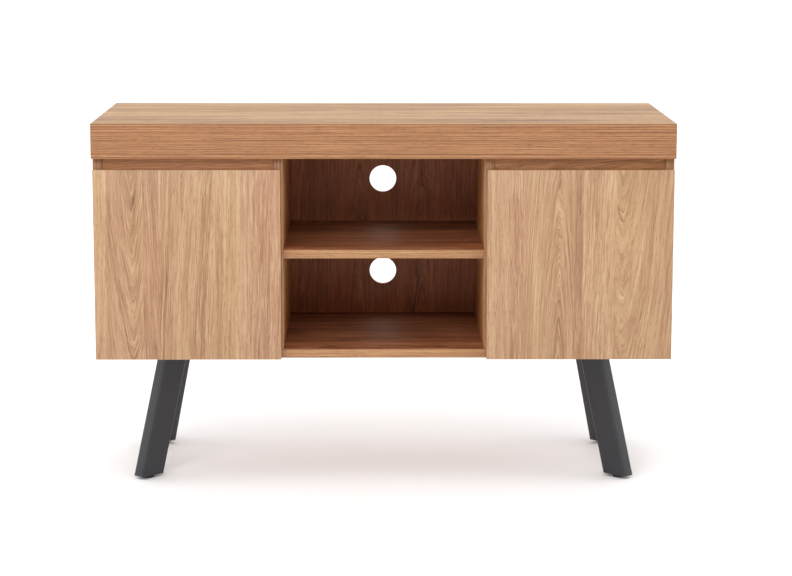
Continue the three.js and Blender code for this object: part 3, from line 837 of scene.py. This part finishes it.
def hinge_link(side, end, offset, number):
    low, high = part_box(f"hinge_arm_{end}_{side}")
    middle = (low + high) / 2
    x = middle.x + offset
    start_y, end_y = low.y + LINK_REST[0], low.y + LINK_REST[1]
    mesh = bmesh.new()
    loops = []
    for step in range(LINK_STEPS + 1):
        y = start_y + (end_y - start_y) * step / LINK_STEPS
        loops.append([
            mesh.verts.new((x + a * LINK_THICKNESS / 2, y, middle.z + b * LINK_HEIGHT / 2))
            for a, b in LINK_CORNERS
        ])
    for first, second in zip(loops, loops[1:]):
        for i in range(4):
            j = (i + 1) % 4
            mesh.faces.new((first[i], first[j], second[j], second[i]))
    mesh.faces.new(loops[0][::-1])
    mesh.faces.new(loops[-1])
    bmesh.ops.recalc_face_normals(mesh, faces=mesh.faces)
    long_edges = [e for e in mesh.edges if len(e.link_faces) == 2 and e.calc_face_angle(0) > 1
                  and abs(e.verts[0].co.y - e.verts[1].co.y) > 1e-6]
    bmesh.ops.bevel(
        mesh, geom=long_edges, offset=LINK_EASING, segments=1, profile=0.5, affect="EDGES",
    )
    data = bpy.data.meshes.new(f"hinge_link_{number}_{end}_{side}")
    mesh.to_mesh(data)
    mesh.free()
    data.materials.append(nickel)
    piece = bpy.data.objects.new(data.name, data)
    bpy.context.scene.collection.objects.link(piece)
    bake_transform(piece)
    smooth(piece)
    return piece


links = [
    hinge_link(side, end, offset, number)
    for side, _ in SIDES for end in ENDS
    for number, offset in ((1, -LINK_SPACING / 2), (2, LINK_SPACING / 2))
]
print("hinge links:", len(links))

# %% [markdown]
# ## Bumpers
#
# A soft dot of clear polyurethane near two corners of each door takes the knock as it shuts. It is
# cloudy more than clear, so half of the light goes through and a fine haze covers the rest.

# %% Bumpers
HAZE = 400  # grains in a metre, so 2.5 mm each
POLYURETHANE_IOR = 1.5
BUMPER_EASING = 0.3 * MM


def clear_polyurethane():
    material, tree, surface = new_material("clear_polyurethane")
    place = add_node(tree, "TexCoord").outputs["Object"]
    haze = add_node(tree, "TexNoise", {"Vector": place, "Scale": HAZE, "Detail": 2}).outputs["Fac"]
    colour = add_node(tree, "ValToRGB", {0: haze}, [(0.3, "#D5D6D1"), (0.7, "#E2E3DF")]).outputs[0]
    tree.links.new(colour, surface.inputs["Base Color"])
    tree.links.new(sum_of(tree, 0.25, (haze, 0.2)), surface.inputs["Roughness"])
    surface.inputs["IOR"].default_value = POLYURETHANE_IOR
    surface.inputs["Transmission Weight"].default_value = 0.5
    return material


soft_clear = clear_polyurethane()
for side, _ in SIDES:
    for end in ENDS:
        eased_copy(f"bumper_{end}_{side}", soft_clear, BUMPER_EASING)
print("bumpers:", len(SIDES) * len(ENDS))

# %% [markdown]
# ## Battens
#
# Two lengths of sawn pine keep the hollow top from sagging. Nobody sees them, so they are a plain
# pale softwood with its fibres drawn out along the batten and no lacquer.

# %% Battens
PINE_FIBRES = (300, 8, 300)  # fibres in a metre, so about 3 mm wide and 125 mm long
PINE_ROUGHNESS = 0.75
BATTEN_EASING = 0.5 * MM


def sawn_pine():
    material, tree, surface = new_material("sawn_pine")
    place = add_node(tree, "TexCoord").outputs["Object"]
    along = add_node(tree, "VectorMath", {0: place, 1: PINE_FIBRES}, operation="MULTIPLY").outputs[0]
    fibre = add_node(tree, "TexNoise", {"Vector": along, "Scale": 1, "Detail": 3}).outputs["Fac"]
    colour = add_node(tree, "ValToRGB", {0: fibre}, [(0.3, "#D9BE93"), (0.7, "#C6A271")]).outputs[0]
    tree.links.new(colour, surface.inputs["Base Color"])
    surface.inputs["Roughness"].default_value = PINE_ROUGHNESS
    return material


pine = sawn_pine()
for side, _ in SIDES:
    eased_copy(f"core_batten_{side}", pine, BATTEN_EASING)
print("battens:", len(SIDES))

# %% [markdown]
# ## Floor and light
#
# A white cove and one large softbox, as in a furniture studio. The floor is a wide sheet that never
# shows its edge. The camera sees the surround as plain white, and the object is lit by a softer
# version of it, bright above and behind and dim in front, so that the bay falls into shade.

# %% Floor and light
FLOOR_REACH = 30
FLOOR_CLOUDS = 3  # patches of tone in a metre
KEY_PLACE = (-0.7, -3.8, 2.5)
KEY_SIZE = (3.0, 1.2)
KEY_WATTS = 85
DIM_FRONT = (-0.85, -0.35)  # how far back a direction points where the dim front ends and fades out


def make_floor():
    mesh = bmesh.new()
    bmesh.ops.create_grid(mesh, x_segments=1, y_segments=1, size=FLOOR_REACH)
    data = bpy.data.meshes.new("floor")
    mesh.to_mesh(data)
    mesh.free()
    floor = bpy.data.objects.new("floor", data)
    bpy.context.scene.collection.objects.link(floor)
    material, tree, surface = new_material("white_studio_floor")
    place = add_node(tree, "TexCoord").outputs["Object"]
    cloud = add_node(tree, "TexNoise", {"Vector": place, "Scale": FLOOR_CLOUDS, "Detail": 3}).outputs[0]
    colour = add_node(tree, "ValToRGB", {0: cloud}, [(0.3, "#F8F8F8"), (0.7, "#FBFBFB")]).outputs[0]
    tree.links.new(colour, surface.inputs["Base Color"])
    tree.links.new(sum_of(tree, 0.65, (cloud, 0.1)), surface.inputs["Roughness"])
    data.materials.append(material)
    floor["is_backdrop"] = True
    return floor


def add_softbox(name, place, target, width, height, watts):
    data = bpy.data.lights.new(name, "AREA")
    data.shape = "RECTANGLE"
    data.size, data.size_y = width, height
    data.energy = watts
    light = bpy.data.objects.new(name, data)
    light.location = place
    light.rotation_euler = (Vector(target) - Vector(place)).to_track_quat("-Z", "Y").to_euler()
    bpy.context.scene.collection.objects.link(light)
    return light


def make_world(seen, horizon_front, horizon_back, zenith):
    """A surround that the camera sees as one brightness, and that lights the object from above."""
    world = bpy.data.worlds.new("studio")
    bpy.context.scene.world = world
    world.use_nodes = True
    tree = world.node_tree
    tree.nodes.clear()
    direction = add_node(tree, "TexCoord").outputs["Generated"]
    _, back, up = add_node(tree, "SeparateXYZ", {0: direction}).outputs
    height = add_node(tree, "Math", {0: up, 1: 0.0}, operation="MAXIMUM").outputs[0]
    inputs = {0: back, 1: DIM_FRONT[0], 2: DIM_FRONT[1], 3: horizon_front, 4: horizon_back}
    behind = add_node(tree, "MapRange", inputs).outputs[0]
    dome = add_node(tree, "Mix", {0: height, 2: behind, 3: zenith}).outputs[0]
    camera_ray = add_node(tree, "LightPath").outputs["Is Camera Ray"]
    strength = add_node(tree, "Mix", {0: camera_ray, 2: dome, 3: seen}).outputs[0]
    background = add_node(tree, "Background", {"Color": (1, 1, 1, 1), "Strength": strength})
    add_node(tree, "OutputWorld", {"Surface": background.outputs[0]})


make_floor()
centre = (cad_low + cad_high) / 2
key = add_softbox("key", KEY_PLACE, centre, *KEY_SIZE, KEY_WATTS)
make_world(seen=1.0, horizon_front=0.2, horizon_back=1.3, zenith=1.4)
bpy.context.scene.view_settings.view_transform = "Standard"
print("softbox from the object in m:", round((key.location - centre).length, 2))

# %% [markdown]
# ## Sizes and finish
#
# The outer box is measured once more, now with every added piece, and written beside the box of the
# CAD model. If a piece stuck out or a board had moved, the two would differ.

# %% Sizes
low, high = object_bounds()
print("visual size in mm:", [round(v / MM, 1) for v in high - low])
